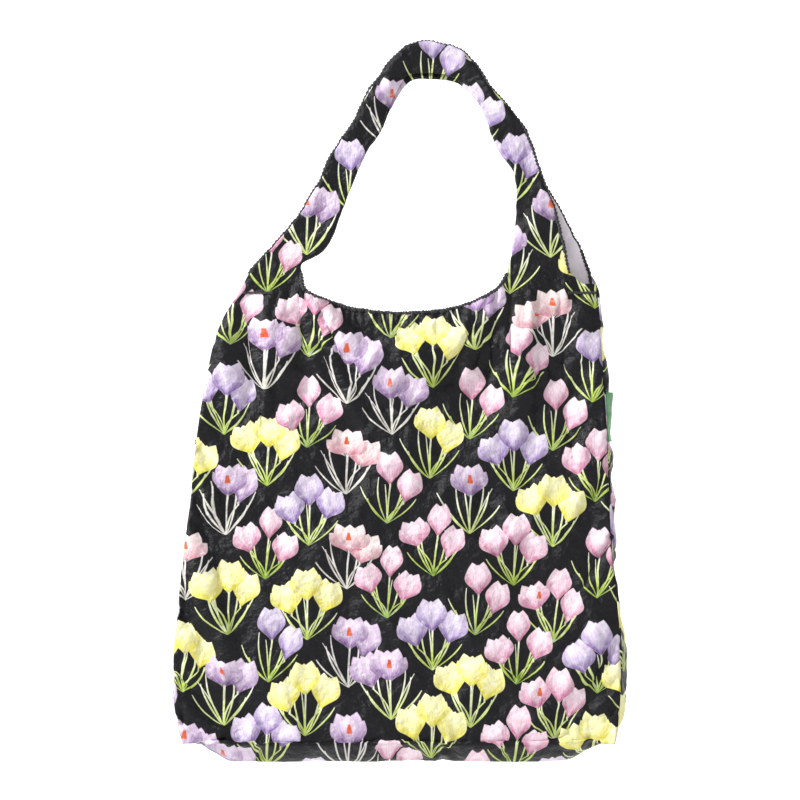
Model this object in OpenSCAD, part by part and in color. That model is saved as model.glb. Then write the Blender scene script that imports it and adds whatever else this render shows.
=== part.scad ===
// Foldable tote bag, hanging from its two handles. Millimetres, +Z up, +X to the
// bag's right, the front facing -Y. The origin is the underside of the handle loop,
// where a hook or a hand carries it. Outlines are drawn in X and height above the base.

/* [Bag] */
// Half width of the bag at its widest, low on the sides
half_w = 202; // [170:1:240]
// Depth of the base, front to back
base_depth = 80; // [70:1:120]
// Depth across both panels at the shoulder line
top_depth = 14; // [14:1:16]
// Height of the line where the handles fold against the bag
fold_h = 430; // [425:1:440]
// Clear height kept on each side of the fold line
fold_gap = 7; // [7:0.5:9]
// Thickness of one layer of cloth, hems included
cloth = 1.2; // [1:0.1:1.6]

/* [Handles] */
// Thickness of a handle, a band of cloth folded double
handle_t = 5; // [4:0.5:5]
// Clear space between the front handle and the back one
handle_space = 3; // [2:0.5:4]
// Share of the handle's width that the edge binding takes
binding_share = 0.1; // [0.06:0.01:0.2]

/* [Neckline] */
// Width of the gathered neck binding
neck_binding_w = 5; // [3:0.5:8]

/* [Pouch] */
// Side of the square storage pouch sewn inside
pouch_side = 120; // [90:1:130]
// Height of the pouch's bottom edge above the base
pouch_h = 250; // [200:1:255]
// Thickness of the empty pouch
pouch_t = 2.6; // [2:0.1:3]
// Width of the binding at the pouch's mouth
pouch_binding_w = 5; // [4:0.5:8]
// Radius of the press stud
stud_r = 6; // [5:0.5:8]

/* [Tag] */
// Height of the blank tag
tag_l = 44; // [30:1:50]
// Reach of the tag from its seam
tag_w = 14; // [8:1:16]
// Height of the tag's lower end above the base
tag_h = 285; // [280:1:300]

/* [Hidden] */
clear = 0.2;
hang_h = 615;
hang_x = 24;
steps = 5;
black = "#26262a";
lilac_grey = "#b9b4bf";
base_half_w = half_w - 23;
body_top = fold_h - fold_gap;
handle_bottom = fold_h + fold_gap;
stud_t = 1.2;
stud_h = pouch_h + pouch_side - 12;
tack_h = 6;
tack_w = 26;
tag_t = 1;
tag_gap = 1.2;

// A smooth curve through a few points
function along(a, b, c, d, t) = 0.5 * (2 * b + (c - a) * t
    + (2 * a - 5 * b + 4 * c - d) * t * t + (3 * b - a - 3 * c + d) * t * t * t);
function smooth(p) = let (last = len(p) - 1) concat(
    [for (i = [0:last - 1]) for (k = [0:steps - 1])
        along(p[max(i - 1, 0)], p[i], p[i + 1], p[min(i + 2, last)], k / steps)],
    [p[last]]);
function flipped(p) = [for (i = [len(p) - 1:-1:0]) p[i]];
function moved(p, d) = [for (q = p) q + d];
function between(p, q, share) = [for (i = [0:len(p) - 1]) p[i] + (q[i] - p[i]) * share];

// The bag's sides and neckline, each from the base or the left
left_side = concat([[-base_half_w, 0]], smooth([
    [3 - half_w, 24], [-half_w, 110], [14 - half_w, 260], [36 - half_w, 380], [56 - half_w, body_top]
]));
right_side = concat([[base_half_w, 0]], smooth([
    [half_w - 2, 24], [half_w, 110], [half_w - 11, 260], [half_w - 18, 370], [half_w - 24, body_top]
]));
neckline = smooth([[-84, body_top], [-72, 416], [-40, 408], [-4, 404], [40, 408], [74, 416], [87, body_top]]);
panel_neck = moved(neckline, [0, -neck_binding_w - clear]);

// The handle's outer and inner edges, both from the left shoulder to the right one
handle_outer = smooth([
    [-134, handle_bottom], [-88, 490], [-46, 565], [-20, 610], [24, 644], [66, 624],
    [116, 556], [140, 495], [170, handle_bottom]
]);
handle_inner = smooth([
    [-86, handle_bottom], [-53, 490], [-17, 565], [4, 606], [24, hang_h], [54, 606],
    [86, 552], [103, 500], [96, handle_bottom]
]);

// Outer face of a panel, as a distance from the middle plane at height h
function face(h) = base_depth / 2 - (base_depth - top_depth) / 2 * h / fold_h;

// Moves a shape drawn above the base to the bag's own origin
module placed() translate([-hang_x, 0, -hang_h]) children();

// An outline in X and height, as deep as from y0 to y1
module outline_between(p, y0, y1) translate([0, y1, 0]) rotate([90, 0, 0])
    linear_extrude(y1 - y0) polygon(p);

// The sloping layer from d0 to d1 inside the front face, or the back face if side is 1
module layer(side, d0, d1) {
    wide = 2 * half_w + 20;
    translate([-wide / 2, 0, 0]) rotate([90, 0, 90]) linear_extrude(wide) polygon([
        [side * (face(0) - d0), 0], [side * (face(fold_h) - d0), fold_h],
        [side * (face(fold_h) - d1), fold_h], [side * (face(0) - d1), 0]
    ]);
}

// A piece of cloth with outline p, lying in that layer
module cloth_piece(p, side, d0, d1) intersection() {
    outline_between(p, -base_depth, base_depth);
    layer(side, d0, d1);
}

module panel(side) placed() {
    outline = concat(
        left_side,
        [neckline[0] + [-clear, 0]],
        moved([panel_neck[0]], [-clear, 0]),
        panel_neck,
        moved([panel_neck[len(panel_neck) - 1]], [clear, 0]),
        [neckline[len(neckline) - 1] + [clear, 0]],
        flipped(right_side)
    );
    cloth_piece(outline, side, 0, cloth);
}

module gusset(edge, inward) placed() {
    room = cloth + clear;
    strip = concat(edge, flipped(moved(edge, [inward * cloth, 0])));
    intersection() {
        outline_between(strip, -base_depth, base_depth);
        translate([-half_w - 10, 0, 0]) rotate([90, 0, 90]) linear_extrude(2 * half_w + 20) polygon([
            [room - face(0), cloth + clear], [face(0) - room, cloth + clear],
            [face(fold_h) - room, fold_h], [room - face(fold_h), fold_h]
        ]);
    }
}

module neck_binding(side) placed()
    cloth_piece(concat(neckline, flipped(moved(neckline, [0, -neck_binding_w]))), side, 0, cloth);

module handle(side) placed() {
    edge = between(handle_outer, handle_inner, binding_share + 0.01);
    near = handle_space / 2;
    y0 = side < 0 ? -near - handle_t : near;
    outline_between(concat(edge, flipped(handle_inner)), y0, y0 + handle_t);
}

module handle_binding(side) placed() {
    edge = between(handle_outer, handle_inner, binding_share);
    near = handle_space / 2;
    y0 = side < 0 ? -near - handle_t : near;
    outline_between(concat(handle_outer, flipped(edge)), y0, y0 + handle_t);
}

module shoulder_tack(x0) placed() cloth_piece([
    [x0, body_top - tack_h - 2], [x0 + tack_w, body_top - tack_h - 2],
    [x0 + tack_w, body_top - 2], [x0, body_top - 2]
], -1, -clear - 0.8, -clear);

module front_panel() color(black) panel(-1);
module back_panel() color(black) panel(1);
module left_gusset() color(black) gusset(left_side, 1);
module right_gusset() color(black) gusset(right_side, -1);
module front_neck_binding() color("black") neck_binding(-1);
module back_neck_binding() color("black") neck_binding(1);
module front_handle() color(black) handle(-1);
module back_handle() color(black) handle(1);
module front_handle_binding() color("black") handle_binding(-1);
module back_handle_binding() color("black") handle_binding(1);
module left_shoulder_tack() color("black") shoulder_tack(left_side[len(left_side) - 1][0] + 6);
module right_shoulder_tack() color("black")
    shoulder_tack(right_side[len(right_side) - 1][0] - tack_w - 2);

module base_panel() color(black) placed() {
    half_y = face(0) - cloth - 2 * clear;
    translate([-base_half_w, -half_y, 0]) cube([2 * base_half_w, 2 * half_y, cloth]);
}

// The tag lies back along the right gusset from the front seam
module side_tag() color("seagreen") placed() {
    tag_x = half_w - 11 + tag_gap;
    translate([tag_x, -face(tag_h + tag_l), tag_h]) cube([tag_t, tag_w, tag_l]);
}

module storage_pouch() color(lilac_grey) placed() {
    x = pouch_side / 2;
    cloth_piece([
        [-x, pouch_h], [x, pouch_h], [x, pouch_h + pouch_side], [-x, pouch_h + pouch_side]
    ], 1, cloth + clear, cloth + clear + pouch_t);
}

module pouch_binding() color("black") placed() {
    x = pouch_side / 2;
    low = pouch_h + pouch_side + clear;
    cloth_piece([
        [-x, low], [x, low], [x, low + pouch_binding_w], [-x, low + pouch_binding_w]
    ], 1, cloth + clear, cloth + clear + pouch_t);
}

// A disc of the press stud on the pouch's face, from d0 to d0 + stud_t off it
module stud_disc(r, d0) placed() {
    y = face(stud_h + r) - cloth - clear - pouch_t - clear - d0;
    translate([0, y, stud_h]) rotate([90, 0, 0]) cylinder(r = r, h = stud_t, $fn = 48);
}

module press_stud_socket() color("silver") stud_disc(stud_r - 1, 0);
module press_stud_cap() color("silver") stud_disc(stud_r, stud_t);

front_panel();
back_panel();
left_gusset();
right_gusset();
base_panel();
front_neck_binding();
back_neck_binding();
front_handle();
back_handle();
front_handle_binding();
back_handle_binding();
left_shoulder_tack();
right_shoulder_tack();
side_tag();
storage_pouch();
pouch_binding();
press_stud_socket();
press_stud_cap();
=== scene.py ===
import math

import bpy
import numpy as np
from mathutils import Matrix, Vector, noise


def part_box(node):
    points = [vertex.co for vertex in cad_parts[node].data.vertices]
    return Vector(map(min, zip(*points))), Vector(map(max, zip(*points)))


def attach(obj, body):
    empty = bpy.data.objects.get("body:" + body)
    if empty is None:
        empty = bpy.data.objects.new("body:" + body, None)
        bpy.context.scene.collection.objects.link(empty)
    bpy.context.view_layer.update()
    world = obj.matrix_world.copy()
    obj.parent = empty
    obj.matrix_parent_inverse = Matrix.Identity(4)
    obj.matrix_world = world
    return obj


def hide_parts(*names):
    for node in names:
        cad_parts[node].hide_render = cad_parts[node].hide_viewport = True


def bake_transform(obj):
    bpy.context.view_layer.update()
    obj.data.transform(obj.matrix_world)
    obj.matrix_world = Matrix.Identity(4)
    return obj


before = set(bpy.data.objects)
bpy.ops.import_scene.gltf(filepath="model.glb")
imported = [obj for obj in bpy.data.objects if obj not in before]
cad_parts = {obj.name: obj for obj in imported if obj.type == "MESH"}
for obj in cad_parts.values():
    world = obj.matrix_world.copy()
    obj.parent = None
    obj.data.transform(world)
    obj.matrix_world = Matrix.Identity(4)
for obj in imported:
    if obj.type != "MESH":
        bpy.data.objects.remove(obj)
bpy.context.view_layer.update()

# ---------------------------------------------------------------- places and sizes
# Outlines are in millimetres: x from the middle of the base, h above the base.
MM = 0.001
base_low, base_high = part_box("base_panel")
panel_low, panel_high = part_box("front_panel")
handle_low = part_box("front_handle")[0]
binding_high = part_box("front_handle_binding")[1]
MID_X = (base_low[0] + base_high[0]) / 2
BASE_Z = base_low[2]
HALF_W = (panel_high[0] - panel_low[0]) / 2 / MM
LOOP_TOP = (binding_high[2] - BASE_Z) / MM
BODY_TOP = (panel_high[2] - BASE_Z) / MM
HANDLE_FOOT = (handle_low[2] - BASE_Z) / MM
FOLD_H = (BODY_TOP + HANDLE_FOOT) / 2
BASE_Y = -panel_low[1] / MM
HANG_H = -BASE_Z / MM
# A panel's distance from the middle plane at the fold line, the bottom seams' height, the cloth's thickness
TOP_Y = 6.2
SEAM_H = 21.0
CLOTH = 0.35


def at(x, y, h):
    """A place on the bag, in metres in the row frame."""
    return (MID_X + x * MM, y * MM, BASE_Z + h * MM)


def smooth(points, steps=12):
    """A smooth curve through a few points, as an array."""
    p = np.array(points, float)
    out = []
    for i in range(len(p) - 1):
        a, b, c, d = p[max(i - 1, 0)], p[i], p[i + 1], p[min(i + 2, len(p) - 1)]
        for k in range(steps):
            t = k / steps
            bend = (2 * a - 5 * b + 4 * c - d) * t * t + (3 * b - a - 3 * c + d) * t ** 3
            out.append(0.5 * (2 * b + (c - a) * t + bend))
    out.append(p[-1])
    return np.array(out)


def spaced(curve, n):
    """n points evenly spaced along a curve."""
    step = np.linalg.norm(np.diff(curve, axis=0), axis=1)
    run = np.concatenate([[0], np.cumsum(step)])
    want = np.linspace(0, run[-1], n)
    return np.stack([np.interp(want, run, curve[:, k]) for k in range(curve.shape[1])], 1)


LEFT_SIDE = smooth([
    (11 - HALF_W, SEAM_H - 6), (1 - HALF_W, 50), (-HALF_W, 112), (9 - HALF_W, 200), (20 - HALF_W, 300),
    (36 - HALF_W, 380), (58 - HALF_W, BODY_TOP - 3), (68 - HALF_W, HANDLE_FOOT + 2)
])
RIGHT_SIDE = smooth([
    (HALF_W - 13, SEAM_H - 6), (HALF_W - 6, 50), (HALF_W - 5, 112), (HALF_W - 12, 200), (HALF_W - 16, 300),
    (HALF_W - 21, 372), (HALF_W - 25, BODY_TOP - 3), (HALF_W - 33, HANDLE_FOOT + 2)
])
NECKLINE = smooth([
    (-88, HANDLE_FOOT), (-86, BODY_TOP), (-72, 416), (-40, 409), (-4, 405), (40, 408), (74, 416),
    (89, BODY_TOP + 2), (96, HANDLE_FOOT)
])
HANDLE_OUTER = smooth([
    (68 - HALF_W, HANDLE_FOOT), (-89, 489), (-61, 541), (-44, 567), (-22, 608), (0, 634), (14, 641),
    (27, LOOP_TOP - 1), (52, 636), (66, 624), (85, 598), (103, 576), (116, 556), (126, 525), (140, 495),
    (157, 462), (HALF_W - 33, HANDLE_FOOT)
])
HANDLE_INNER = smooth([
    (-88, HANDLE_FOOT), (-88, 445), (-73, 453), (-62, 466), (-53, 489), (-32, 541), (-17, 565), (-11, 582),
    (5, 611), (24, HANG_H), (44, 613), (54, 607), (72, 586), (86, 550), (102, 526), (104, 495), (101, 462),
    (96, HANDLE_FOOT)
])


def noise_at(x, y, z=0.0):
    return noise.noise(Vector((x, y, z)))


def creased(x, h, seed):
    """Depth of the folds that packing and hanging leave in the cloth, in millimetres."""
    wander = 6 * noise_at(x / 90, h / 90, seed)
    flat_folds = 0.0
    for value, spacing, lift in ((x + wander, 67, 0.9), (h + 20 + wander, 74, 0.7)):
        off = abs((value / spacing) % 1 - 0.5) * spacing
        side = 1 if int(value // spacing) % 2 else -1
        fade = 0.6 + 0.8 * noise_at(x / 60, h / 60, seed + 4)
        flat_folds += side * lift * fade * math.exp(-off / 3.5)
    crumple = 0.0
    for scale, lift in ((74, 4.6), (31, 2.2), (13, 0.5)):
        ridge = 1 - 2.4 * abs(noise_at(x / scale, h / (scale * 1.25), seed + scale))
        crumple += lift * ridge
    return flat_folds + crumple


def drag_folds(x, h):
    """Soft folds that run down from the two shoulders and up the sides."""
    total = 0.0
    for foot_x, lean, reach, lift in ((-92, 0.42, 150, 3.4), (112, -0.25, 170, 3.0)):
        drop = FOLD_H - h
        across = x - foot_x - lean * drop
        spread = 10 + 0.16 * max(drop, 0)
        wave = math.sin(across / spread * 2.2)
        total += lift * wave * math.exp(-(across / (4.5 * spread)) ** 2) * math.exp(-max(drop, 0) / reach)
    return total


def panel_depth(x, h, share):
    """Distance of a panel from the middle plane. share runs from 0 at one side seam to 1 at the other."""
    rise = min(max((h - SEAM_H) / (FOLD_H - SEAM_H), 0), 1)
    depth = TOP_Y + (BASE_Y - 3 - TOP_Y) * (1 - rise)
    edge = abs(2 * share - 1)
    return depth * (1 - 0.22 * rise * (1 - rise ** 4) * edge ** 3) - 1.5 * (1 - rise) * edge ** 8


# ---------------------------------------------------------------- meshes
def grid_mesh(name, points, uv, materials, thickness=CLOTH):
    """A sheet of cloth from a grid of points (rows, columns, 3) in metres, with its flat places as UVs."""
    rows, cols = points.shape[:2]
    mesh = bpy.data.meshes.new(name)
    faces = []
    for r in range(rows - 1):
        for c in range(cols - 1):
            a = r * cols + c
            faces.append((a, a + 1, a + cols + 1, a + cols))
    mesh.from_pydata(points.reshape(-1, 3).tolist(), [], faces)
    layer = mesh.uv_layers.new(name="cloth")
    flat = uv.reshape(-1, 2)
    loops = np.empty(len(mesh.loops), int)
    mesh.loops.foreach_get("vertex_index", loops)
    layer.data.foreach_set("uv", (flat[loops] * MM).astype(np.float32).ravel())
    mesh.shade_smooth()
    obj = bpy.data.objects.new(name, mesh)
    bpy.context.scene.collection.objects.link(obj)
    for material in materials:
        mesh.materials.append(material)
    if thickness:
        shell = obj.modifiers.new("thickness", "SOLIDIFY")
        shell.thickness = thickness * MM
        shell.offset = -1
        if len(materials) > 1:
            shell.material_offset = 1
            shell.material_offset_rim = 0
    return obj


def tube_mesh(name, path, radius_of, material, sides=10):
    """A tube along a path of (x, y, h) points, in mm. radius_of(i, run) gives (in plane, in depth)."""
    path = np.array(path, float)
    tangent = np.gradient(path, axis=0)
    tangent /= np.linalg.norm(tangent, axis=1)[:, None]
    run = np.concatenate([[0], np.cumsum(np.linalg.norm(np.diff(path, axis=0), axis=1))])
    depth = np.array([0.0, 1.0, 0.0])
    rings = []
    for i, (p, t) in enumerate(zip(path, tangent)):
        side = np.cross(depth, t)
        side /= np.linalg.norm(side)
        out = np.cross(t, side)
        wide, thick = radius_of(i, run[i])
        for k in range(sides):
            a = 2 * math.pi * k / sides
            rings.append(p + side * wide * math.cos(a) + out * thick * math.sin(a))
    n = len(path)
    faces = []
    for i in range(n - 1):
        for k in range(sides):
            j = (k + 1) % sides
            faces.append((i * sides + k, i * sides + j, (i + 1) * sides + j, (i + 1) * sides + k))
    faces.append(tuple(reversed(range(sides))))
    faces.append(tuple(range((n - 1) * sides, n * sides)))
    mesh = bpy.data.meshes.new(name)
    mesh.from_pydata([at(*p) for p in rings], [], faces)
    mesh.shade_smooth()
    mesh.materials.append(material)
    obj = bpy.data.objects.new(name, mesh)
    bpy.context.scene.collection.objects.link(obj)
    return obj


# ---------------------------------------------------------------- formulas as nodes
class Num:
    """A number in a node tree, so that a formula is written as one."""

    def __init__(self, tree, socket):
        self.tree = tree
        self.socket = socket

    def op(self, operation, *others, clamp=False):
        node = self.tree.nodes.new("ShaderNodeMath")
        node.operation = operation
        node.use_clamp = clamp
        for slot, value in zip(node.inputs, (self, *others)):
            if isinstance(value, Num):
                self.tree.links.new(value.socket, slot)
            else:
                slot.default_value = value
        return Num(self.tree, node.outputs[0])

    def __add__(self, b):
        return self.op("ADD", b)

    def __sub__(self, b):
        return self.op("SUBTRACT", b)

    def __rsub__(self, b):
        return (self * -1) + b

    def __mul__(self, b):
        return self.op("MULTIPLY", b)

    def __truediv__(self, b):
        return self.op("DIVIDE", b)

    __radd__ = __add__
    __rmul__ = __mul__

    def abs(self):
        return self.op("ABSOLUTE")

    def floor(self):
        return self.op("FLOOR")

    def clamp(self):
        return self.op("ADD", 0.0, clamp=True)

    def soft(self, width):
        """0 where this is well below zero and 1 where it is well above, with an edge this wide."""
        return (self / width + 0.5).clamp()


def new_group(name, inputs, outputs):
    tree = bpy.data.node_groups.new(name, "ShaderNodeTree")
    for label in inputs:
        tree.interface.new_socket(label, in_out="INPUT", socket_type="NodeSocketFloat")
    for label, kind in outputs:
        tree.interface.new_socket(label, in_out="OUTPUT", socket_type=kind)
    source = tree.nodes.new("NodeGroupInput")
    sink = tree.nodes.new("NodeGroupOutput")
    values = [Num(tree, source.outputs[label]) for label in inputs]
    return tree, values, sink


def use_group(tree, group, *values):
    node = tree.nodes.new("ShaderNodeGroup")
    node.node_tree = group
    for slot, value in zip(node.inputs, values):
        if isinstance(value, Num):
            tree.links.new(value.socket, slot)
        else:
            slot.default_value = value
    return node


def blend_colour(tree, factor, low, high, mode="MIX"):
    node = tree.nodes.new("ShaderNodeMix")
    node.data_type = "RGBA"
    node.blend_type = mode
    if isinstance(factor, Num):
        tree.links.new(factor.socket, node.inputs["Factor"])
    else:
        node.inputs["Factor"].default_value = factor
    for slot, value in ((node.inputs[6], low), (node.inputs[7], high)):
        if isinstance(value, tuple):
            slot.default_value = value
        else:
            tree.links.new(value, slot)
    return node.outputs[2]


def srgb(r, g, b):
    """A colour given as it looks on a screen, 0 to 255, as linear light."""
    def line(v):
        v /= 255
        return v / 12.92 if v <= 0.04045 else ((v + 0.055) / 1.055) ** 2.4
    return (line(r), line(g), line(b), 1.0)


def ramp(tree, factor, stops, how="LINEAR"):
    node = tree.nodes.new("ShaderNodeValToRGB")
    node.color_ramp.interpolation = how
    elements = node.color_ramp.elements
    while len(elements) < len(stops):
        elements.new(0.5)
    for element, (place, colour) in zip(elements, stops):
        element.position = place
        element.color = colour
    tree.links.new(factor.socket, node.inputs[0])
    return node.outputs[0]


# ---------------------------------------------------------------- the printed flowers
EDGE = 0.45
PETAL_L = 34.0
PETAL_W = 7.4
CELL_W = 73.0
CELL_H = 84.0
# Each pair of leaves: slope at the foot, how far it straightens, height, and the pair's lean to one side
LEAVES = ((0.60, 0.34, 47, 0.05), (1.00, 0.36, 37, -0.12), (1.55, 0.58, 25, 0.16), (0.26, -0.06, 40, 0.24))

# Each layer of petals, back to front: turns of the spread, length and width against the rest, lightness
PETALS = ((2.0, 0.86, 0.92, 0.30), (1.0, 1.0, 1.0, 0.56), (0.0, 0.91, 1.16, 0.84))
# Where each kind of plant starts in the draw from 0 to 1. The first, pink, starts at 0
VIOLET, YELLOW, STAR, STRIPED = 0.30, 0.51, 0.63, 0.76
# The two lattices of plants: sideways shift, upward shift and seed
LATTICES = ((9, 0, 3.0), (9 + CELL_W / 2, CELL_H / 2, 11.0))
# Share of its range by which each column of plants steps in height, after the golden ratio
COLUMN_STEP = 0.381966


def bloom_group():
    """One crocus bloom standing on (0, 0), in mm: a front petal, two side petals and two behind."""
    tree, (x, y, spread), sink = new_group(
        "crocus_bloom", ["x", "y", "spread"],
        [("mask", "NodeSocketFloat"), ("tone", "NodeSocketFloat"), ("rise", "NodeSocketFloat")])
    ax = x.abs()
    mask, tone = None, None
    for turn, length, width, light in PETALS:
        angle = spread * turn
        c, s = angle.op("COSINE"), angle.op("SINE")
        px = ax * c - y * s if turn else x
        py = ax * s + y * c if turn else y
        t = (py / (PETAL_L * length)).clamp()
        w = (t.op("POWER", 1.7) * math.pi).op("SINE").op("MAXIMUM", 0.0) * (PETAL_W * width)
        room = w - px.abs() - EDGE / 2
        petal = room.soft(EDGE)
        vein = (1 - (px * 1.35).op("SINE").abs()).op("POWER", 5.0) * (1.15 - t) * -0.6
        rim = (room / 1.6).clamp() * 0.42 + 0.58
        shade = (vein + t * 0.62 + light - 0.26) * rim
        if mask is None:
            mask, tone = petal, shade
        else:
            tone = tone + (shade - tone) * petal
            mask = mask.op("MAXIMUM", petal)
    for label, value in (("mask", mask), ("tone", tone), ("rise", (y / PETAL_L).clamp())):
        tree.links.new(value.socket, sink.inputs[label])
    return tree


def between(kind, low, high):
    """1 where kind lies between two values, else 0."""
    return kind.op("GREATER_THAN", low) * kind.op("LESS_THAN", high)


def plant_group(bloom):
    """A plant growing from (0, 0): stems, a fan of thin leaves and one to three blooms."""
    tree, (x, y, kind, pick, chance), sink = new_group(
        "crocus_plant", ["x", "y", "kind", "pick", "chance"],
        [("leaves", "NodeSocketColor"), ("leaf mask", "NodeSocketFloat"),
         ("blooms", "NodeSocketColor"), ("bloom mask", "NodeSocketFloat")])
    leaf_mask = None
    for lean, curl, height, skew in LEAVES:
        px = (x + y * skew).abs()
        t = (y / height).clamp()
        middle = (lean * height - t * (curl * height)) * t
        w = ((t * math.pi).op("SINE") * 0.36 + 0.26) * (1 + 0.4 * lean)
        inside = (y * (height - y)).soft(2.0)
        blade = (w - (px - middle).abs()).soft(EDGE) * inside
        leaf_mask = blade if leaf_mask is None else leaf_mask.op("MAXIMUM", blade)
    green = ramp(tree, (y / 50 + chance * 0.35), [
        (0.0, srgb(122, 156, 56)), (0.3, srgb(182, 202, 92)), (0.62, srgb(212, 224, 150)),
        (1.0, srgb(242, 243, 222))])
    white_stems = between(kind, STAR, 0.88) * 0.8
    leaves = blend_colour(tree, white_stems, green, srgb(216, 208, 214))
    tips = ramp(tree, kind, [
        (0.0, srgb(248, 226, 236)), (VIOLET, srgb(232, 220, 240)), (YELLOW, srgb(250, 247, 196)),
        (STAR, srgb(248, 234, 232)), (STRIPED, srgb(232, 214, 234))], "CONSTANT")
    feet = ramp(tree, kind, [
        (0.0, srgb(184, 88, 134)), (VIOLET, srgb(112, 72, 152)), (YELLOW, srgb(226, 214, 30)),
        (STAR, srgb(190, 120, 138)), (STRIPED, srgb(120, 76, 142))], "CONSTANT")
    star = between(kind, STAR, STRIPED) * 0.16
    places = (
        (chance * 5 - 17, pick * 12 + 18, -0.30, pick * 0.16 + 0.12 + star, chance.op("LESS_THAN", 0.62)),
        (16 - pick * 4, chance * 11 + 16, 0.30, (1 - pick) * 0.20 + 0.12 + star,
         pick.op("GREATER_THAN", 0.36)),
        (pick * 6 - 3, 40 - chance * 9, 0.05, chance * 0.22 + 0.11 + star, 1.0),
    )
    colour, mask = tips, None
    for bx, by, lean, spread, shown in places:
        t = (y / by).clamp()
        stem = (0.8 - (x - t * t * bx).abs()).soft(EDGE) * (y * (by + 3 - y)).soft(2.0) * shown
        leaf_mask = leaf_mask.op("MAXIMUM", stem)
        shrink = spread * 0.7 + 0.84
        dx, dy = (x - bx) * shrink, (y - by) * shrink
        node = use_group(tree, bloom, dx * math.cos(lean) - dy * math.sin(lean),
                         dx * math.sin(lean) + dy * math.cos(lean), spread)
        bloom_mask, tone, rise = (Num(tree, node.outputs[k]) for k in range(3))
        bloom_mask = bloom_mask * shown
        petals = blend_colour(tree, (tone * 0.72 + rise * 0.44 - 0.06).clamp(), feet, tips)
        colour = blend_colour(tree, bloom_mask, colour, petals)
        mask = bloom_mask if mask is None else mask.op("MAXIMUM", bloom_mask)
        stamen = (1.3 - dx.abs() * (dy - 13) * 0.12).soft(0.8) * (2.6 - dx.abs()).soft(0.8)
        stamen = stamen * ((dy - 14) * (22 - dy)).soft(4.0) * spread.op("GREATER_THAN", 0.27) * shown
        colour = blend_colour(tree, stamen, colour, srgb(222, 104, 66))
    for value, label in ((leaves, "leaves"), (leaf_mask.socket, "leaf mask"),
                         (colour, "blooms"), (mask.socket, "bloom mask")):
        tree.links.new(value, sink.inputs[label])
    return tree


def print_group(plant):
    """The whole print in flat cloth millimetres: two lattices of plants, each column at its own height."""
    tree, (u, v), sink = new_group(
        "flower_print", ["u", "v"], [("colour", "NodeSocketColor"), ("mask", "NodeSocketFloat")])
    layers = []
    for shift_u, shift_v, seed in LATTICES:
        column = ((u + shift_u) / CELL_W).floor()
        drop = (column * COLUMN_STEP).op("FRACT") * (CELL_H * 0.3)
        row = ((v + shift_v + drop) / CELL_H).floor()
        vector = tree.nodes.new("ShaderNodeCombineXYZ")
        tree.links.new(column.socket, vector.inputs[0])
        tree.links.new(row.socket, vector.inputs[1])
        vector.inputs[2].default_value = seed
        chance = tree.nodes.new("ShaderNodeTexWhiteNoise")
        chance.noise_dimensions = "3D"
        tree.links.new(vector.outputs[0], chance.inputs[0])
        parts = tree.nodes.new("ShaderNodeSeparateColor")
        tree.links.new(chance.outputs["Color"], parts.inputs[0])
        r, g, b = (Num(tree, parts.outputs[k]) for k in range(3))
        kind = Num(tree, chance.outputs["Value"])
        flip = (b - 0.5).op("SIGN")
        size = r * 0.16 + 0.84
        y = (v + shift_v + drop - row * CELL_H - 1 - g * 6) / size
        x = (u + shift_u - column * CELL_W - CELL_W / 2 + (g - 0.5) * 5 + y * (r - 0.5) * 0.10) * flip / size
        node = use_group(tree, plant, x, y, kind, b, r)
        layers.append(node)
    # The leaves of both lattices lie under the blooms of both
    colour, mask = layers[0].outputs[0], Num(tree, layers[0].outputs[1])
    for node, first in ((layers[1], 0), (layers[0], 2), (layers[1], 2)):
        top = Num(tree, node.outputs[first + 1])
        colour = blend_colour(tree, top, colour, node.outputs[first])
        mask = mask.op("MAXIMUM", top)
    tree.links.new(colour, sink.inputs["colour"])
    tree.links.new(mask.socket, sink.inputs["mask"])
    return tree


# ---------------------------------------------------------------- materials
def new_material(name, colour, roughness):
    material = bpy.data.materials.new(name)
    material.use_nodes = True
    shader = material.node_tree.nodes["Principled BSDF"]
    shader.inputs["Base Color"].default_value = colour
    shader.inputs["Roughness"].default_value = roughness
    return material, material.node_tree, shader


def cloth_places(tree):
    """The flat place on the cloth, in mm, as two numbers and the raw vector in mm."""
    uv = tree.nodes.new("ShaderNodeUVMap")
    uv.uv_map = "cloth"
    scale = tree.nodes.new("ShaderNodeVectorMath")
    scale.operation = "SCALE"
    scale.inputs["Scale"].default_value = 1 / MM
    tree.links.new(uv.outputs[0], scale.inputs[0])
    parts = tree.nodes.new("ShaderNodeSeparateXYZ")
    tree.links.new(scale.outputs[0], parts.inputs[0])
    return Num(tree, parts.outputs[0]), Num(tree, parts.outputs[1]), scale.outputs[0]


def noise_node(tree, vector, scale, detail=3.0, roughness=0.55):
    node = tree.nodes.new("ShaderNodeTexNoise")
    node.inputs["Scale"].default_value = scale
    node.inputs["Detail"].default_value = detail
    node.inputs["Roughness"].default_value = roughness
    tree.links.new(vector, node.inputs["Vector"])
    return Num(tree, node.outputs[0])


def weave(tree, u, v, pitch):
    """Height of a plain weave of threads this far apart."""
    over = (u * (math.pi / pitch)).op("SINE") * (v * (math.pi / pitch)).op("SINE")
    return over.abs()


def bump(tree, shader, height, distance, strength=1.0):
    node = tree.nodes.new("ShaderNodeBump")
    node.inputs["Distance"].default_value = distance * MM
    node.inputs["Strength"].default_value = strength
    tree.links.new(height.socket, node.inputs["Height"])
    tree.links.new(node.outputs[0], shader.inputs["Normal"])


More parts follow.
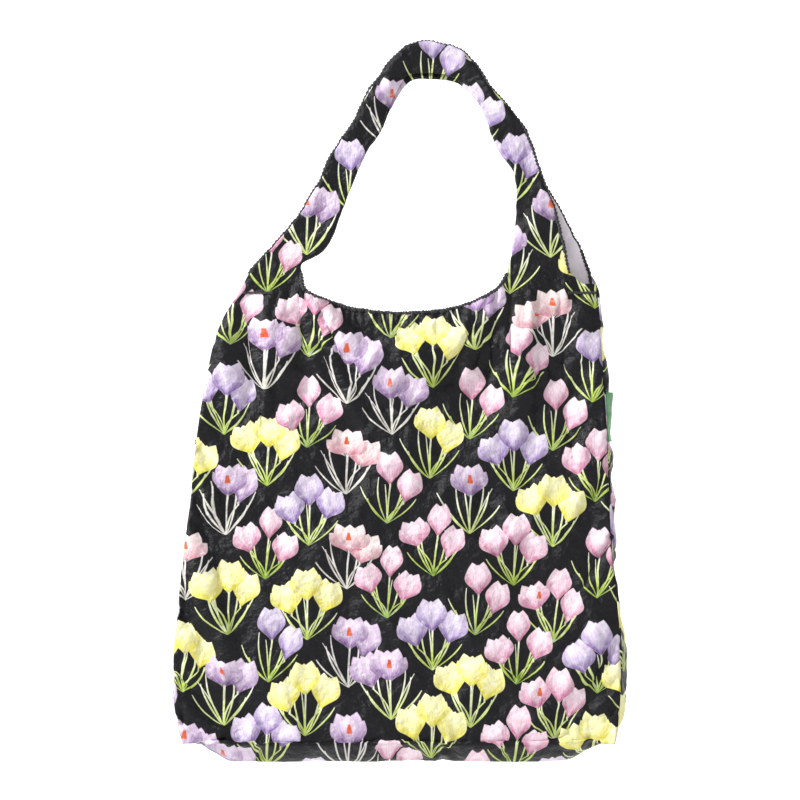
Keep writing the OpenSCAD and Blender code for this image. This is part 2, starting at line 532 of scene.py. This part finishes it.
def cloth_height(tree, u, v, vector):
    """Fine crumples, short sharp creases and the weave, together."""
    crumple = noise_node(tree, vector, 0.055, 4.0)
    small = noise_node(tree, vector, 0.21, 3.0)
    crease = tree.nodes.new("ShaderNodeTexVoronoi")
    crease.feature = "DISTANCE_TO_EDGE"
    crease.inputs["Scale"].default_value = 0.042
    tree.links.new(vector, crease.inputs["Vector"])
    line = (Num(tree, crease.outputs[0]) * 9).clamp()
    return crumple * 2.6 + small * 0.25 + line * 0.14 + weave(tree, u, v, 0.55) * 0.03


def printed_cloth(flowers):
    material, tree, shader = new_material("printed_polyester", (0.02, 0.02, 0.025, 1), 0.42)
    u, v, vector = cloth_places(tree)
    node = use_group(tree, flowers, u, v)
    ink = Num(tree, node.outputs["mask"])
    wash = noise_node(tree, vector, 0.13, 4.0, 0.62)
    grain = noise_node(tree, vector, 0.9, 2.0)
    ground = blend_colour(tree, noise_node(tree, vector, 0.02, 2.0), srgb(11, 11, 14), srgb(20, 20, 25))
    colour = node.outputs["colour"]
    deep = blend_colour(tree, 1.0, colour, colour, "MULTIPLY")
    inked = blend_colour(tree, ((wash - 0.53) * 6).clamp() * 0.6, colour, deep)
    inked = blend_colour(tree, ((0.46 - wash) * 6).clamp() * 0.55, inked, srgb(250, 246, 246))
    inked = blend_colour(tree, ((grain - 0.5) * 3).clamp() * 0.2, inked, deep)
    tree.links.new(blend_colour(tree, ink * 0.97, ground, inked), shader.inputs["Base Color"])
    rough = noise_node(tree, vector, 0.08, 2.0) * 0.14 + 0.33
    tree.links.new(rough.socket, shader.inputs["Roughness"])
    shader.inputs["Sheen Weight"].default_value = 0.03
    shader.inputs["Sheen Roughness"].default_value = 0.4
    shader.inputs["Specular IOR Level"].default_value = 0.24
    bump(tree, shader, cloth_height(tree, u, v, vector), 2.4, 1.0)
    return material


def reverse_cloth():
    """The unprinted reverse of the same cloth, pale."""
    material, tree, shader = new_material("unprinted_reverse", (0.5, 0.48, 0.55, 1), 0.55)
    u, v, vector = cloth_places(tree)
    tone = noise_node(tree, vector, 0.06, 3.0)
    colour = blend_colour(tree, tone, srgb(226, 216, 226), srgb(248, 242, 248))
    tree.links.new(colour, shader.inputs["Base Color"])
    shader.inputs["Sheen Weight"].default_value = 0.2
    bump(tree, shader, cloth_height(tree, u, v, vector), 1.2, 0.7)
    return material


def plain_cloth(name, dark, light, roughness, pitch):
    """A plain dyed cloth or thread, grained by its own object place."""
    material, tree, shader = new_material(name, dark, roughness)
    place = tree.nodes.new("ShaderNodeTexCoord")
    parts = tree.nodes.new("ShaderNodeSeparateXYZ")
    tree.links.new(place.outputs["Object"], parts.inputs[0])
    x, y, z = (Num(tree, parts.outputs[k]) / MM for k in range(3))
    tone = noise_node(tree, place.outputs["Object"], 400, 3.0)
    tree.links.new(blend_colour(tree, tone, dark, light), shader.inputs["Base Color"])
    shader.inputs["Sheen Weight"].default_value = 0.3
    bump(tree, shader, weave(tree, x + y, z, pitch) + tone, 0.25, 0.6)
    return material


def pressed_steel():
    material, tree, shader = new_material("pressed_steel", (0.62, 0.62, 0.65, 1), 0.28)
    shader.inputs["Metallic"].default_value = 1.0
    place = tree.nodes.new("ShaderNodeTexCoord")
    scratch = noise_node(tree, place.outputs["Object"], 900, 4.0)
    tree.links.new((scratch * 0.25 + 0.18).socket, shader.inputs["Roughness"])
    bump(tree, shader, scratch, 0.05, 0.4)
    return material


PRINTED = printed_cloth(print_group(plant_group(bloom_group())))
REVERSE = reverse_cloth()
BINDING = plain_cloth("black_binding", srgb(13, 13, 15), srgb(34, 34, 38), 0.6, 0.8)
TACK = plain_cloth("black_thread", srgb(12, 12, 14), srgb(46, 46, 52), 0.5, 0.6)
RIBBON = plain_cloth("green_ribbon", srgb(34, 120, 52), srgb(66, 168, 84), 0.38, 0.7)
STEEL = pressed_steel()


# ---------------------------------------------------------------- cloth pieces
SIDE_BULGE = 2.5
PANEL_COLS, PANEL_ROWS = 220, 210
SIDE_COLS = 36
SIM_COLS, SIM_ROWS = 74, 76
SIM_SIDE_COLS = 12
MOUTH_CLEAR = 1.6
FRONT_FOOT_X = HALF_W - 52
CORNER_DROP = 11.0
# The simulation: its length, the furthest a point may move, how much of the sideways movement is kept, the
# share by which the cloth is cut slack, and how firmly the seams hold
SIM_FRAMES = 26
SIM_CAP = 9.0
SIM_SIDEWAYS = 0.4
SIM_SLACK = 0.035
SEAM_HOLD = 0.35
# How far along the print each piece is cut, so that no two show the same flowers
PRINT_X = {"front": 0, "back": 431, "left": 617, "right": 853}
FAR_LAYER_PRINT_X = 260


def side_x(side, h):
    return float(np.interp(h, side[:, 1], side[:, 0]))


def neck_h(x):
    """Height of a panel's top edge at x: the shoulder seams, and the neckline between them."""
    if x <= NECKLINE[0, 0] or x >= NECKLINE[-1, 0]:
        return HANDLE_FOOT
    return float(np.interp(x, NECKLINE[:, 0], NECKLINE[:, 1]))


def panel_shape(front, cols, rows):
    """A panel with no folds, as a grid of (x, y, h) from the bottom seam up and from left to right."""
    grid = np.zeros((rows, cols, 3))
    sign = -1 if front else 1
    top_left, top_right = LEFT_SIDE[-1, 0], RIGHT_SIDE[-1, 0]
    for c in range(cols):
        s = c / (cols - 1)
        x_top = top_left + (top_right - top_left) * s
        h_top = neck_h(x_top)
        if front:
            h_top -= CORNER_DROP * min(max((x_top - FRONT_FOOT_X) / 9, 0), 1)
        for r in range(rows):
            h = SEAM_H + (h_top - SEAM_H) * r / (rows - 1)
            bulge = SIDE_BULGE * min(1, 2 * panel_depth(0, h, 0) / 30)
            left = side_x(LEFT_SIDE, h) + bulge
            right = side_x(RIGHT_SIDE, h) - bulge
            pull = min(max((h_top - h) / 90, 0), 1)
            pull = max(pull * pull * (3 - 2 * pull), 1 - 6 * min(s, 1 - s))
            x = x_top + (left + (right - left) * s - x_top) * pull
            grid[r, c] = (x, sign * panel_depth(x, h, (x - left) / (right - left)), h)
    return grid


def gusset_shape(left, front, back, cols):
    """A side, between the panels' edges, bulging a little outwards and turned under at its foot."""
    edge = 0 if left else -1
    out = -1 if left else 1
    t = np.linspace(0, 1, cols)
    hump = np.sin(math.pi * t)
    grid = front[:, edge, None] + (back[:, edge] - front[:, edge])[:, None] * t[None, :, None]
    wide = np.abs(back[:, edge, 1] - front[:, edge, 1])
    lift = SIDE_BULGE * 0.7 * np.minimum(1, wide / 30)
    grid[..., 0] += out * lift[:, None] * hump[None] ** 0.7
    foot = np.clip(1 - (front[:, edge, 2] - SEAM_H) / 50, 0, 1) ** 2
    grid[..., 2] -= 1.5 * foot[:, None] * hump[None]
    return grid


def base_shape(front, back, left, right, rows):
    """The base, which hangs in a shallow fold below the bottom seams and meets the foot of each side."""
    t = np.linspace(0, 1, rows)
    flat = front[0][None] + (back[0] - front[0])[None] * t[:, None, None]
    cols = flat.shape[1]
    s = np.linspace(0, 1, cols)
    ends = np.clip(9 * np.minimum(s, 1 - s), 0, 1) ** 0.8
    hang = np.sin(math.pi * t) ** 0.8
    grid = flat.copy()
    grid[..., 2] -= (SEAM_H - 2.2) * hang[:, None] * ends[None]
    for side, share in ((left, np.clip(1 - 12 * s, 0, 1)), (right, np.clip(1 - 12 * (1 - s), 0, 1))):
        line = np.stack([np.interp(t, np.linspace(0, 1, side.shape[1]), side[0, :, k]) for k in range(3)], 1)
        edge = 0 if side is left else -1
        grid += (line - flat[:, edge])[:, None] * (share ** 2)[None, :, None]
    return grid


def bag_shapes(cols, rows, side_cols):
    front, back = panel_shape(True, cols, rows), panel_shape(False, cols, rows)
    left = gusset_shape(True, front, back, side_cols)
    right = gusset_shape(False, front, back, side_cols)
    base = base_shape(front, back, left, right, side_cols)
    return {"front": front, "back": back, "left": left, "right": right, "base": base}


def finer(field, rows, cols):
    """A grid of values on a finer grid, by smooth interpolation along each direction in turn."""
    for axis, n in ((0, rows), (1, cols)):
        field = np.moveaxis(field, axis, 0)
        last = field.shape[0] - 1
        place = np.linspace(0, last, n)
        i = np.minimum(place.astype(int), last - 1)
        t = (place - i).reshape((-1,) + (1,) * (field.ndim - 1))
        a, b, c, d = (field[np.clip(i + k, 0, last)] for k in (-1, 0, 1, 2))
        bend = (2 * a - 5 * b + 4 * c - d) * t ** 2 + (3 * b - a - 3 * c + d) * t ** 3
        field = np.moveaxis(0.5 * (2 * b + (c - a) * t + bend), 0, axis)
    return field


def hung_bag():
    """Hangs the bag as one sewn cloth, cut a little slack, and returns how far each grid point moves."""
    shapes = bag_shapes(SIM_COLS, SIM_ROWS, SIM_SIDE_COLS)
    index, points, faces, ids = {}, [], [], {}
    for name, grid in shapes.items():
        rows, cols = grid.shape[:2]
        own = np.zeros((rows, cols), int)
        for r in range(rows):
            for c in range(cols):
                key = tuple(np.round(grid[r, c], 1))
                if key not in index:
                    index[key] = len(points)
                    uneven = 0.5 * noise_at(grid[r, c, 0] / 17, grid[r, c, 2] / 17, grid[r, c, 1] / 30)
                    points.append(tuple(np.array(to_metres(grid[r, c])) + np.array([0, uneven * MM, 0])))
                own[r, c] = index[key]
        ids[name] = own
        for r in range(rows - 1):
            for c in range(cols - 1):
                corners = [own[r, c], own[r, c + 1], own[r + 1, c + 1], own[r + 1, c]]
                if len(set(corners)) == 4:
                    faces.append([int(k) for k in corners])
    mesh = bpy.data.meshes.new("sim")
    mesh.from_pydata(points, [], faces)
    obj = bpy.data.objects.new("sim", mesh)
    bpy.context.scene.collection.objects.link(obj)
    start = np.array(points)
    held = obj.vertex_groups.new(name="held")
    for name, grid in shapes.items():
        rows, cols = grid.shape[:2]
        for r in range(rows):
            for c in range(cols):
                seam = name in ("front", "back") and (c in (0, cols - 1) or r == 0)
                if grid[r, c, 2] > BODY_TOP - 4:
                    held.add([int(ids[name][r, c])], 1.0, "REPLACE")
                elif seam:
                    held.add([int(ids[name][r, c])], SEAM_HOLD, "REPLACE")
    cloth = obj.modifiers.new("cloth", "CLOTH").settings
    cloth.quality = 6
    cloth.mass = 0.04
    cloth.air_damping = 2.0
    cloth.tension_stiffness = cloth.compression_stiffness = 14
    cloth.shear_stiffness = 6
    cloth.bending_stiffness = 0.02
    cloth.shrink_min = -SIM_SLACK
    cloth.vertex_group_mass = "held"
    cloth.pin_stiffness = 1.0
    obj.modifiers["cloth"].point_cache.frame_start = 1
    obj.modifiers["cloth"].point_cache.frame_end = SIM_FRAMES
    scene = bpy.context.scene
    for number in range(1, SIM_FRAMES + 1):
        scene.frame_set(number)
    done = obj.evaluated_get(bpy.context.evaluated_depsgraph_get())
    end = np.empty(len(points) * 3, np.float32)
    done.data.vertices.foreach_get("co", end)
    moved = (end.reshape(-1, 3) - start) / MM * np.array([SIM_SIDEWAYS, 1, 1])
    scene.frame_set(1)
    bpy.data.objects.remove(obj)
    size = np.linalg.norm(moved, axis=1)
    print("cloth moved, mm: mean", round(float(size.mean()), 2), "largest", round(float(size.max()), 2))
    moved *= (np.minimum(size, SIM_CAP) / np.maximum(size, 1e-6))[:, None]
    return {name: moved[own] for name, own in ids.items()}


def to_metres(grid):
    grid = np.asarray(grid)
    return np.stack([MID_X + grid[..., 0] * MM, grid[..., 1] * MM, BASE_Z + grid[..., 2] * MM], -1)


def surface_normals(grid):
    along = np.gradient(grid, axis=0)
    across = np.gradient(grid, axis=1)
    normal = np.cross(across, along)
    return normal / np.maximum(np.linalg.norm(normal, axis=2), 1e-9)[..., None]


def with_creases(grid, u_of, seed, calm):
    """Adds the fine creases along the cloth's own normal. calm is 1 where they are full and 0 at a seam."""
    lift = np.zeros(grid.shape[:2])
    for r in range(grid.shape[0]):
        for c in range(grid.shape[1]):
            u, v = u_of(grid[r, c])
            lift[r, c] = creased(u, v, seed)
    return grid + surface_normals(grid) * (lift * calm)[..., None]


shapes = bag_shapes(PANEL_COLS, PANEL_ROWS, SIDE_COLS)
for part, field in hung_bag().items():
    shapes[part] = shapes[part] + finer(field, *shapes[part].shape[:2])


def near_edges(rows, cols, reach_c, reach_r_low, reach_r_high=0):
    """0 at a grid's edges, rising to 1 over these shares of its width and height."""
    s, t = np.linspace(0, 1, cols), np.linspace(0, 1, rows)
    across = np.clip(np.minimum(s, 1 - s) / reach_c, 0, 1)
    up = np.clip(t / reach_r_low, 0, 1)
    if reach_r_high:
        up = up * np.clip((1 - t) / reach_r_high, 0, 1)
    return np.sqrt(up)[:, None] * np.sqrt(across)[None]


def drag(grid, sign):
    add = np.zeros(grid.shape[:2])
    for r in range(grid.shape[0]):
        for c in range(grid.shape[1]):
            add[r, c] = drag_folds(grid[r, c, 0], grid[r, c, 2])
    return add * sign


pouch_low, pouch_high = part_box("storage_pouch")
POUCH_MID_H = ((pouch_low[2] + pouch_high[2]) / 2 - BASE_Z) / MM
CAD_TOP_Y = 7.0
FOLD_REACH = 26
FOLD_START = at(0, 0, FOLD_H + FOLD_REACH)
FOLD_END = at(0, 0, FOLD_H - FOLD_REACH)


def cad_face(h):
    """Outer face of a CAD panel at height h, as a distance from the middle plane."""
    return BASE_Y - (BASE_Y - CAD_TOP_Y) * h / FOLD_H


def cloth_sheet(name, grid, uv, node, rests_on):
    """A finished sheet of cloth that stands for a CAD node, whose CAD part it hides."""
    obj = grid_mesh(name, to_metres(grid), uv, [PRINTED, REVERSE])
    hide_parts(node)
    return obj


def gathers(grid):
    """Small upright folds that the gathered binding draws into the cloth under the neckline."""
    add = np.zeros(grid.shape[:2])
    for c in range(grid.shape[1]):
        x = grid[-1, c, 0]
        if NECKLINE[0, 0] < x < NECKLINE[-1, 0]:
            wave = math.sin(x * 0.82 + 5 * noise_at(x / 22, 3.0)) + 0.6 * math.sin(x * 0.37 + 1.0)
            reach = 13 + 9 * noise_at(x / 15, 9.0)
            add[:, c] = 0.85 * wave * np.exp(-(grid[-1, c, 2] - grid[:, c, 2]) / reach)
    return add


def behind_pouch(grid):
    """The least distance of the back panel from the middle, so that it stays behind the pouch sewn to it."""
    low, high = pouch_low, pouch_high
    x_off = np.abs(grid[..., 0] - (low[0] + high[0] - 2 * MID_X) / 2 / MM) - (high[0] - low[0]) / 2 / MM
    h_off = np.abs(grid[..., 2] - POUCH_MID_H) - (high[2] - low[2]) / 2 / MM
    outside = np.maximum(np.maximum(x_off, h_off) - 6, 0)
    return cad_face(grid[..., 2]) - 0.9 - 0.25 * outside


def make_panel(front):
    part = "front" if front else "back"
    flat = panel_shape(front, PANEL_COLS, PANEL_ROWS)
    grid = shapes[part]
    calm = near_edges(PANEL_ROWS, PANEL_COLS, 0.05, 0.03)
    calm = calm * np.clip((HANDLE_FOOT - grid[..., 2]) / 45, 0, 1)
    grid = with_creases(grid, lambda p: (p[0], p[2]), 1.0 if front else 31.0, calm)
    grid[..., 1] += drag(grid, -1 if front else 1) * calm
    grid[..., 1] += gathers(grid)
    if front:
        grid[..., 1] = np.minimum(grid[..., 1], -MOUTH_CLEAR)
    else:
        grid[..., 1] = np.maximum(np.maximum(grid[..., 1], MOUTH_CLEAR), behind_pouch(grid))
    shapes[part] = grid
    uv = np.stack([flat[..., 0] + PRINT_X[part], flat[..., 2]], -1)
    draw = grid
    if not front:
        draw, uv = grid[:, ::-1], uv[:, ::-1]
    body = part + "_handle"
    obj = cloth_sheet(part + "_panel_cloth", draw, uv, part + "_panel", [body + "_cloth"])
    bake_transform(obj)


def make_gusset(left):
    part = "left" if left else "right"
    grid = shapes[part]
    calm = near_edges(PANEL_ROWS, SIDE_COLS, 0.3, 0.05, 0.3)
    grid = with_creases(grid, lambda p: (p[1] + 500, p[2]), 57.0 if left else 71.0, calm)
    edge = 0 if left else -1
    grid[:, 0], grid[:, -1] = shapes["front"][:, edge], shapes["back"][:, edge]
    shapes[part] = grid
    uv = np.stack([grid[..., 1] + PRINT_X[part], grid[..., 2]], -1)
    if left:
        grid, uv = grid[:, ::-1], uv[:, ::-1]
    obj = cloth_sheet(part + "_gusset_cloth", grid, uv, part + "_gusset",
                      ["front_panel_cloth", "back_panel_cloth"])
    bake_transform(obj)


def make_base():
    grid = shapes["base"]
    calm = near_edges(SIDE_COLS, PANEL_COLS, 0.05, 0.3, 0.3) * 0.5
    uv = np.stack([grid[..., 0], SEAM_H - BASE_Y + 3 - grid[..., 1]], -1)[::-1]
    grid = with_creases(grid[::-1], lambda p: (p[0], p[1] + 900), 13.0, calm)
    grid[..., 2] = np.maximum(grid[..., 2], 0.3)
    obj = cloth_sheet("base_cloth", grid, uv, "base_panel",
                      ["front_panel_cloth", "back_panel_cloth"])
    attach(obj, "bag")


make_panel(True)
make_panel(False)
make_gusset(True)
make_gusset(False)
make_base()
front_grid, back_grid = shapes["front"], shapes["back"]

HANDLE_STEPS = 260
HANDLE_AROUND = 36
BAND_T = 2.2
FOOT_LAP = 12


def handle_lines(front):
    """The handle's two edges, point by point, with the sideways lean that sets the back one off the front."""
    lap = HANDLE_FOOT - FOOT_LAP
    outer = np.vstack([[side_x(LEFT_SIDE, lap) + 7, lap], HANDLE_OUTER, [side_x(RIGHT_SIDE, lap) - 5, lap]])
    inner = np.vstack([[-88.5, lap], HANDLE_INNER, [93, lap]])
    outer, inner = spaced(outer, HANDLE_STEPS), spaced(inner, HANDLE_STEPS)
    along = np.linspace(0, 1, HANDLE_STEPS)
    for line, seed, rough in ((outer, 61.0, 1.0), (inner, 77.0, 0.7)):
        line += np.array([[1.5 * noise_at(a * 26, seed) + 0.7 * noise_at(a * 75, seed),
                           1.5 * noise_at(a * 26, seed + 9) + 0.7 * noise_at(a * 75, seed + 9)]
                          for a in along]) * rough * np.minimum(1, 14 * np.minimum(along, 1 - along))[:, None]
    if front:
        outer[:, 0] -= (RIGHT_SIDE[-1, 0] - FRONT_FOOT_X) * np.exp(-((along - 1) / 0.1) ** 2)
    else:
        outer[:, 0] += 3 * np.exp(-((along - 0.9) / 0.08) ** 2)
        lean = np.exp(-((along - 0.52) / 0.12) ** 2)
        for line in (outer, inner):
            line[:, 0] += 3.5 * lean
            line[:, 1] -= 5.0 * lean
    return outer, inner, along


def handle_depth(front, a):
    """Middle plane of a handle at share a of its length: the two close up towards the top."""
    sign = -1 if front else 1
    return sign * (4.4 + 1.0 * math.cos(2 * math.pi * a))


def make_handle(front):
    """A band of cloth folded double round its inner edge. Returns its outer edge, for the binding."""
    outer, inner, along = handle_lines(front)
    grid = np.zeros((HANDLE_STEPS, HANDLE_AROUND, 3))
    uv = np.zeros((HANDLE_STEPS, HANDLE_AROUND, 2))
    seed = 5.0 if front else 43.0
    sign = -1 if front else 1
    for i in range(HANDLE_STEPS):
        a = along[i]
        middle = handle_depth(front, a)
        foot = min(1, 12 * min(a, 1 - a))
        width = np.linalg.norm(outer[i] - inner[i])
        for k in range(HANDLE_AROUND):
            turn = 0.06 * math.pi + 1.88 * math.pi * k / (HANDLE_AROUND - 1)
            across = 0.5 - 0.5 * math.cos(turn)
            p = outer[i] + (inner[i] - outer[i]) * across
            thick = BAND_T * (0.35 + 0.65 * foot) * abs(math.sin(turn)) ** 0.5 * (-1 if turn < math.pi else 1)
            fold = 1.3 * math.sin((across - 0.35) * 5.0 + 5 * noise_at(a * 6, 0, seed))
            coarse, fine = noise_at(p[0] / 14, p[1] / 14, seed), noise_at(p[0] / 5, p[1] / 5, seed)
            wrinkle = fold * foot + coarse + 0.5 * fine
            twist = 5.0 * math.exp(-((a - 0.5) / 0.1) ** 2) + 3.0 * noise_at(a * 7, seed)
            y = middle + thick + wrinkle * (0.2 + 0.8 * foot) - sign * twist * (across - 0.5) * foot
            share = (p[0] - LEFT_SIDE[-1, 0]) / (RIGHT_SIDE[-1, 0] - LEFT_SIDE[-1, 0])
            face = panel_depth(p[0], min(p[1], FOLD_H), min(max(share, 0), 1))
            on_panel = sign * (face + 0.45 - (0 if sign * thick > 0 else 0.9))
            settle = min(1, max(0, (p[1] - FOLD_H) / 45))
            settle = settle * settle * (3 - 2 * settle)
            grid[i, k] = (p[0], on_panel + (y - on_panel) * settle, p[1])
            uv[i, k] = (p[0] + (0 if turn < math.pi else FAR_LAYER_PRINT_X), p[1])
    name = "front_handle_cloth" if front else "back_handle_cloth"
    points = to_metres(grid)
    obj = grid_mesh(name, points, uv, [PRINTED, REVERSE])
    if not front:
        for face in obj.data.polygons:
            row, col = divmod(face.vertices[0], HANDLE_AROUND)
            if along[row] > 0.8 and col < HANDLE_AROUND / 2:
                face.material_index = 1
    body = "front_handle" if front else "back_handle"
    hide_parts(body)
    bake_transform(obj)
    middle_line = (outer + inner) / 2
    wide = 2 * float(np.linalg.norm(outer - inner, axis=1).mean())
    return outer


front_outer = make_handle(True)
back_outer = make_handle(False)


# ---------------------------------------------------------------- bindings and trims
TACK_STITCHES = 46
THREAD_R = 0.28


def puckered(wide, thick, pitch, seed):
    """Radius of a gathered binding: ribs a few millimetres apart, none quite alike."""
    def radius(i, run):
        rib = math.sin(2 * math.pi * run / pitch + 3 * noise_at(run / 9, seed))
        uneven = 0.5 * noise_at(run / 4, seed + 2) - math.exp(-run / 2.5)
        return wide * (1 + 0.26 * rib + 0.4 * uneven), thick * (1 + 0.34 * rib + 0.4 * uneven)
    return radius


def even_path(points, step=0.55):
    length = float(np.linalg.norm(np.diff(points, axis=0), axis=1).sum())
    return spaced(points, max(int(length / step), 8))


def neck_binding(front):
    grid = front_grid if front else back_grid
    top = grid[-1]
    keep = (top[:, 0] > NECKLINE[0, 0] - 1) & (top[:, 0] < NECKLINE[-1, 0] + 1)
    path = even_path(top[keep] + np.array([0, 0, -1.2]))
    path[:, 2] += [0.9 * noise_at(x / 7, 21.0) for x in path[:, 0]]
    name = "front_neck_gather" if front else "back_neck_gather"
    obj = tube_mesh(name, path, puckered(1.6, 1.1, 3.1, 7.0 if front else 8.0), BINDING)
    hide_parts("front_neck_binding" if front else "back_neck_binding")
    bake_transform(obj)


def edge_binding(front):
    outer = front_outer if front else back_outer
    along = np.linspace(0, 1, len(outer))
    depth = np.array([handle_depth(front, a) for a in along])
    path = even_path(np.stack([outer[:, 0], depth, outer[:, 1]], 1))
    name = "front_handle_gather" if front else "back_handle_gather"
    obj = tube_mesh(name, path, puckered(1.5, 1.2, 3.6, 17.0 if front else 18.0), BINDING)
    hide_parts("front_handle_binding" if front else "back_handle_binding")
    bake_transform(obj)


for is_front in (True, False):
    neck_binding(is_front)
    edge_binding(is_front)


def cloth_y(grid, x, h, across=0, wanted=1):
    """A cloth's depth at (x, h), or its x at (y, h) when across is 1, from the grid points nearest to it."""
    off = (grid[..., across] - x) ** 2 + (grid[..., 2] - h) ** 2
    near = np.argsort(off, axis=None)[:4]
    return float(grid[..., wanted].ravel()[near].mean())


def bar_tack(left):
    """Dense zigzag stitching that closes the foot of a handle on the front panel."""
    node = "left_shoulder_tack" if left else "right_shoulder_tack"
    low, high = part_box(node)
    x0, x1 = (low[0] - MID_X) / MM, (high[0] - MID_X) / MM
    h0, h1 = (low[2] - BASE_Z) / MM, (high[2] - BASE_Z) / MM
    path = []
    for k in range(TACK_STITCHES):
        x = x0 + (x1 - x0) * k / (TACK_STITCHES - 1)
        h = h0 + (h1 - h0) * (0.25 if k % 2 else 0.75)
        path.append((x, cloth_y(front_grid, x, h) - CLOTH - 0.15, h))
    obj = tube_mesh(node + "_thread", even_path(np.array(path), 0.7),
                    lambda i, run: (THREAD_R, THREAD_R), TACK, 6)
    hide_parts(node)
    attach(obj, "bag")


bar_tack(True)
bar_tack(False)


def side_tag():
    """A blank ribbon, sewn into the front right seam by one edge and lying back along the side."""
    low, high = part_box("side_tag")
    h0, h1 = (low[2] - BASE_Z) / MM, (high[2] - BASE_Z) / MM
    reach = (high[1] - low[1]) / MM
    seam = front_grid[:, -1]
    rows, cols = 40, 16
    grid = np.zeros((rows, cols, 3))
    for r in range(rows):
        s = r / (rows - 1)
        h = h0 + (h1 - h0) * s
        root = [float(np.interp(h, seam[:, 2], seam[:, k])) for k in range(2)]
        for c in range(cols):
            t = c / (cols - 1)
            y = root[1] + reach * 0.92 * t
            side = max(cloth_y(shapes["right"], y, h, 1, 0), root[0])
            out = 0.8 + 2.6 * t + 0.5 * math.sin(5 * s + 3 * t) * t
            grid[r, c] = (side + out, y, h + 0.8 * t * math.sin(3 * s))
    uv = np.stack([grid[..., 1], grid[..., 2]], -1)
    obj = grid_mesh("side_tag_ribbon", to_metres(grid), uv, [RIBBON], 0.3)
    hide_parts("side_tag")
    middle = grid[rows // 2]
    at(*middle[0])
    at(*middle[cols // 3])
    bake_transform(obj)


side_tag()


def pouch():
    """The storage pouch, an unprinted pocket on the back panel's inside."""
    rows = cols = 60
    grid = np.zeros((rows, cols, 3))
    for r in range(rows):
        t = r / (rows - 1)
        z = pouch_low[2] + (pouch_high[2] - pouch_low[2]) * t
        h = (z - BASE_Z) / MM
        face = cad_face(h)
        for c in range(cols):
            s = c / (cols - 1)
            x = (pouch_low[0] + (pouch_high[0] - pouch_low[0]) * s - MID_X) / MM
            swell = 1.6 * math.sin(math.pi * s) * math.sin(math.pi * t)
            ripple = 0.7 * noise_at(x / 25, h / 25, 3.0)
            grid[r, c] = (x, face - 2.4 - swell - ripple, h)
    uv = np.stack([grid[..., 0], grid[..., 2]], -1)
    obj = grid_mesh("storage_pouch_cloth", to_metres(grid), uv, [PRINTED, REVERSE], 0.5)
    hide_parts("storage_pouch")
    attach(obj, "bag")


pouch()


def repaint(node, material):
    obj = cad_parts[node]
    for slot in obj.material_slots:
        slot.material = material
    if not obj.material_slots:
        obj.data.materials.append(material)


repaint("pouch_binding", BINDING)
repaint("press_stud_cap", STEEL)
repaint("press_stud_socket", STEEL)


# ---------------------------------------------------------------- floor, light and camera
FLOOR_DROP = 0.65
BACKDROP_Y = 3.0
# Share of the view's height that the bag takes
VIEW_FILL = 0.8975


def stage_plane(name, corners, material):
    mesh = bpy.data.meshes.new(name)
    mesh.from_pydata(corners, [], [(0, 1, 2, 3)])
    mesh.materials.append(material)
    obj = bpy.data.objects.new(name, mesh)
    bpy.context.scene.collection.objects.link(obj)


def make_stage():
    size, z = 30.0, BASE_Z - FLOOR_DROP
    pale, _, _ = new_material("pale_floor", (0.86, 0.86, 0.86, 1), 0.9)
    stage_plane("floor", [(-size, -size, z), (size, -size, z), (size, size, z), (-size, size, z)], pale)
    white, _, shader = new_material("white_backdrop", (0.9, 0.9, 0.9, 1), 0.9)
    shader.inputs["Emission Color"].default_value = (1, 1, 1, 1)
    shader.inputs["Emission Strength"].default_value = 0.75
    wide, y = 4.0, BACKDROP_Y
    stage_plane("backdrop", [(-wide, y, z), (wide, y, z), (wide, y, z + 5), (-wide, y, z + 5)], white)


def area_light(name, place, target, size, power):
    data = bpy.data.lights.new(name, "AREA")
    data.size = size
    data.energy = power
    obj = bpy.data.objects.new(name, data)
    obj.location = place
    obj.rotation_euler = (Vector(target) - Vector(place)).to_track_quat("-Z", "Y").to_euler()
    bpy.context.scene.collection.objects.link(obj)


def set_world():
    world = bpy.data.worlds.new("studio")
    bpy.context.scene.world = world
    world.use_nodes = True
    background = world.node_tree.nodes["Background"]
    background.inputs[0].default_value = (1, 1, 1, 1)
    background.inputs[1].default_value = 0.5


def set_camera():
    """Level with the bag's middle and square to its front, as far off as a portrait lens stands."""
    middle = Vector(at(0, 0, LOOP_TOP / 2))
    data = bpy.data.cameras.new("camera")
    data.lens = 100
    data.sensor_width = 36
    obj = bpy.data.objects.new("camera", data)
    frame_height = LOOP_TOP * MM / VIEW_FILL
    obj.location = middle + Vector((0, -frame_height * data.lens / data.sensor_width, 0))
    obj.rotation_euler = (math.pi / 2, 0, 0)
    bpy.context.scene.collection.objects.link(obj)
    bpy.context.scene.camera = obj


make_stage()
set_world()
set_camera()
MIDDLE = at(0, 0, 300)
area_light("key", (MIDDLE[0] - 1.6, -0.75, MIDDLE[2] + 1.1), MIDDLE, 0.35, 62)
area_light("fill", (MIDDLE[0] + 1.4, -1.5, MIDDLE[2] + 0.1), MIDDLE, 1.2, 6)
area_light("back", (MIDDLE[0] + 0.8, 1.6, MIDDLE[2] + 1.0), MIDDLE, 0.8, 24)
bpy.context.scene.view_settings.view_transform = "Standard"
